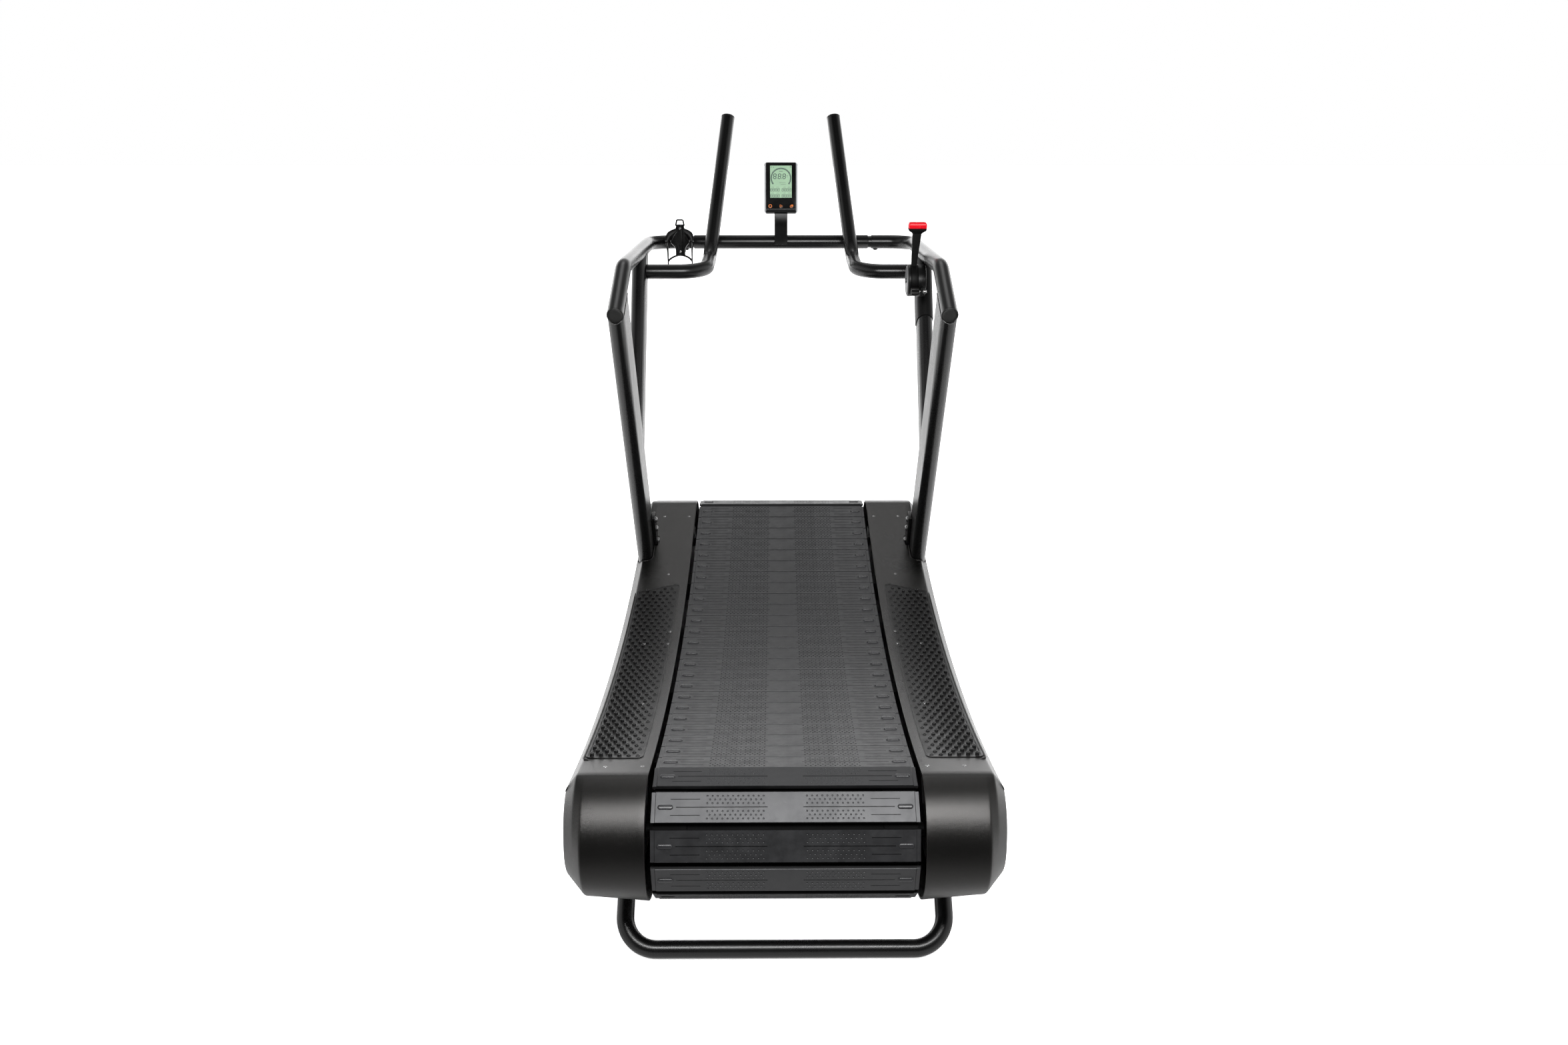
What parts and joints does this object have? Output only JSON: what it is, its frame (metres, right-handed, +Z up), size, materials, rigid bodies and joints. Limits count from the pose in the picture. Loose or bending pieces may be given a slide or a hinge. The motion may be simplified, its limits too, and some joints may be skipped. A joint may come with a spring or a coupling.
{
  "type": "curved manual treadmill",
  "caption": "Curved manual treadmill: slatted rubber running belt on drums, side covers with studded foot pads, handrails, horn grips, console and brake lever.",
  "frame": {"origin": "on the floor, under the centre of the overall bounding box", "axes": "+Z up, +Y the way the user faces (front of the machine), X across the machine with +X to the user's right"},
  "size_m": [0.8, 1.8617, 1.5638],
  "materials": {
    "belt_rubber": "matt, ribbed and dotted",
    "steel": "zinc-plated",
    "disc_aluminium": "turned",
    "powder_black": "satin powder coat",
    "black_plastic": "satin",
    "pad_rubber": "matt, studded",
    "wheel_rubber": "moulded",
    "cover_plastic": "fine-textured moulded plastic",
    "red_plastic": "semi-gloss",
    "lcd": "polished, reflective display",
    "orange_print": "printed key caps"
  },
  "bodies": {
    "frame": {"left_rear_bearing": "steel", "left_front_bearing": "steel", "right_rear_bearing": "steel", "right_front_bearing": "steel", "left_wheel_axle": "steel", "right_wheel_axle": "steel", "left_side_frame": "powder_black", "right_side_frame": "powder_black", "rear_cross_member": "powder_black", "middle_cross_member": "powder_black", "front_cross_member": "powder_black", "rear_foot_tube": "powder_black", "front_foot_tube": "powder_black", "left_upright": "powder_black", "right_upright": "powder_black", "left_front_post": "powder_black", "right_front_post": "powder_black", "left_upright_bracket": "powder_black", "right_upright_bracket": "powder_black", "left_handrail": "powder_black", "right_handrail": "powder_black", "left_horn": "powder_black", "right_horn": "powder_black", "centre_crossbar": "powder_black", "left_curve_rail": "black_plastic", "right_curve_rail": "black_plastic", "left_grip_cap": "black_plastic", "right_grip_cap": "black_plastic", "left_horn_cap": "black_plastic", "right_horn_cap": "black_plastic", "console_housing": "black_plastic", "console_neck": "black_plastic", "bottle_cage": "black_plastic", "cage_clamp": "black_plastic", "lever_hub": "black_plastic", "lever_shroud": "black_plastic", "left_foot_pad": "pad_rubber", "right_foot_pad": "pad_rubber", "left_front_foot": "pad_rubber", "right_front_foot": "pad_rubber", "left_side_cover": "cover_plastic", "right_side_cover": "cover_plastic", "console_screen": "lcd"},
    "belt_top": {"belt_top_run": "belt_rubber"},
    "belt_front": {"belt_front_wrap": "belt_rubber"},
    "belt_bottom": {"belt_bottom_run": "belt_rubber"},
    "belt_rear": {"belt_rear_wrap": "belt_rubber"},
    "rear_drum": {"rear_drum": "steel"},
    "front_drum": {"front_drum": "steel", "brake_disc": "disc_aluminium"},
    "magnet_bracket": {"magnet_bracket": "steel"},
    "resistance_lever": {"resistance_lever": "black_plastic", "lever_cap": "red_plastic"},
    "cable_adjuster": {"cable_adjuster": "black_plastic"},
    "reset_key": {"reset_key": "orange_print"},
    "start_key": {"start_key": "orange_print"},
    "mode_key": {"mode_key": "orange_print"},
    "left_wheel": {"left_transport_wheel": "wheel_rubber"},
    "right_wheel": {"right_transport_wheel": "wheel_rubber"}
  },
  "joints": [
    {"name": "belt_travel", "type": "slide", "parent": "frame", "child": "belt_bottom", "axis": [0, 0.9986, 0.0534], "range_m": [-0.014, 0.014]},
    {"name": "belt_top_swing", "type": "hinge", "parent": "frame", "child": "belt_top", "pos_m": [0, -0.2452, 3.6055], "axis": [-1, 0, 0], "range_deg": [-0.2468, 0.2468]},
    {"name": "belt_rear_turn", "type": "hinge", "parent": "frame", "child": "belt_rear", "pos_m": [0, -0.8015, 0.27], "axis": [1, 0, 0], "range_deg": [-7.66, 7.66]},
    {"name": "belt_front_turn", "type": "hinge", "parent": "frame", "child": "belt_front", "pos_m": [0, 0.6635, 0.3484], "axis": [1, 0, 0], "range_deg": [-7.66, 7.66]},
    {"name": "rear_drum_turn", "type": "hinge", "parent": "frame", "child": "rear_drum", "pos_m": [0, -0.8015, 0.27], "axis": [1, 0, 0], "range_deg": [-7.66, 7.66]},
    {"name": "front_drum_turn", "type": "hinge", "parent": "frame", "child": "front_drum", "pos_m": [0, 0.6635, 0.3484], "axis": [1, 0, 0], "range_deg": [-7.66, 7.66]},
    {"name": "resistance_lever_turn", "type": "hinge", "parent": "frame", "child": "resistance_lever", "pos_m": [0.337, 0.3685, 1.15], "axis": [1, 0, 0], "range_deg": [-42, 18]},
    {"name": "magnet_bracket_turn", "type": "hinge", "parent": "frame", "child": "magnet_bracket", "pos_m": [0.332, 0.5385, 0.3], "axis": [1, 0, 0], "range_deg": [-8.4, 3.6]},
    {"name": "cable_adjuster_turn", "type": "hinge", "parent": "frame", "child": "cable_adjuster", "pos_m": [0.337, 0.323, 1.1275], "axis": [1, 0, 0], "continuous": true},
    {"name": "reset_key_press", "type": "slide", "parent": "frame", "child": "reset_key", "axis": [0, 0.9563, -0.2924], "range_m": [0, 0.001], "stiffness_N_per_m": 400},
    {"name": "start_key_press", "type": "slide", "parent": "frame", "child": "start_key", "axis": [0, 0.9563, -0.2924], "range_m": [0, 0.001], "stiffness_N_per_m": 400},
    {"name": "mode_key_press", "type": "slide", "parent": "frame", "child": "mode_key", "axis": [0, 0.9563, -0.2924], "range_m": [0, 0.001], "stiffness_N_per_m": 400},
    {"name": "left_wheel_spin", "type": "hinge", "parent": "frame", "child": "left_wheel", "pos_m": [-0.3525, 0.7115, 0.046], "axis": [1, 0, 0], "continuous": true},
    {"name": "right_wheel_spin", "type": "hinge", "parent": "frame", "child": "right_wheel", "pos_m": [0.3525, 0.7115, 0.046], "axis": [1, 0, 0], "continuous": true}
  ],
  "couplings": [
    {"joint": "belt_top_swing", "follows": "belt_travel", "rad_per_m": 0.3052},
    {"joint": "belt_rear_turn", "follows": "belt_travel", "rad_per_m": 9.5238},
    {"joint": "belt_front_turn", "follows": "belt_travel", "rad_per_m": 9.5238},
    {"joint": "rear_drum_turn", "follows": "belt_travel", "rad_per_m": 9.5238},
    {"joint": "front_drum_turn", "follows": "belt_travel", "rad_per_m": 9.5238},
    {"joint": "magnet_bracket_turn", "follows": "resistance_lever_turn", "ratio": 0.2}
  ]
}
